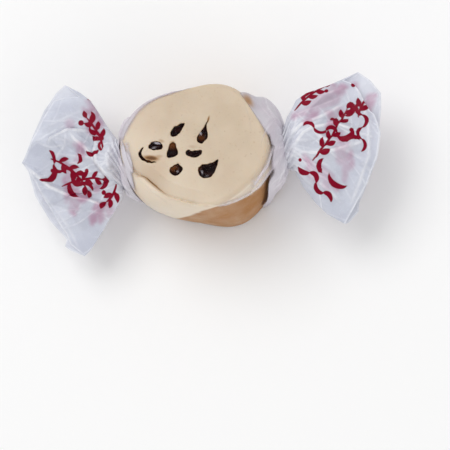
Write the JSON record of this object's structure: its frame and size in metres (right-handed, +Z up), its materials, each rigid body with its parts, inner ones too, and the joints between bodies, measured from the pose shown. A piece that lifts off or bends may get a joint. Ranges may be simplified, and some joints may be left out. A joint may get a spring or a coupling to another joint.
{
  "type": "salt water taffy",
  "caption": "Squat round of pulled taffy with dark chocolate strands through it, wrapped in printed waxed paper with a twisted fan at each end.",
  "frame": {"origin": "on the surface that the taffy lies on, under the middle of the taffy", "axes": "+X along the line through both twists, +Z up out of the face that shows the chocolate, +Y across"},
  "size_m": [0.0615, 0.0287, 0.0193],
  "materials": {
    "taffy": "soft pulled taffy, pale tan, satin, slightly see-through at thin edges",
    "chocolate": "dark chocolate strands with a moist gloss and amber brown edges",
    "waxed_paper": "thin waxed paper, cool white, nearly clear where it touches the taffy, crimson abstract print on both ends"
  },
  "bodies": {
    "root": {"taffy": "taffy", "strand_1": "chocolate", "strand_2": "chocolate", "strand_3": "chocolate", "strand_4": "chocolate", "strand_5": "chocolate", "strand_6": "chocolate", "strand_7": "chocolate", "strand_8": "chocolate", "wrapper": "waxed_paper"}
  },
  "joints": []
}
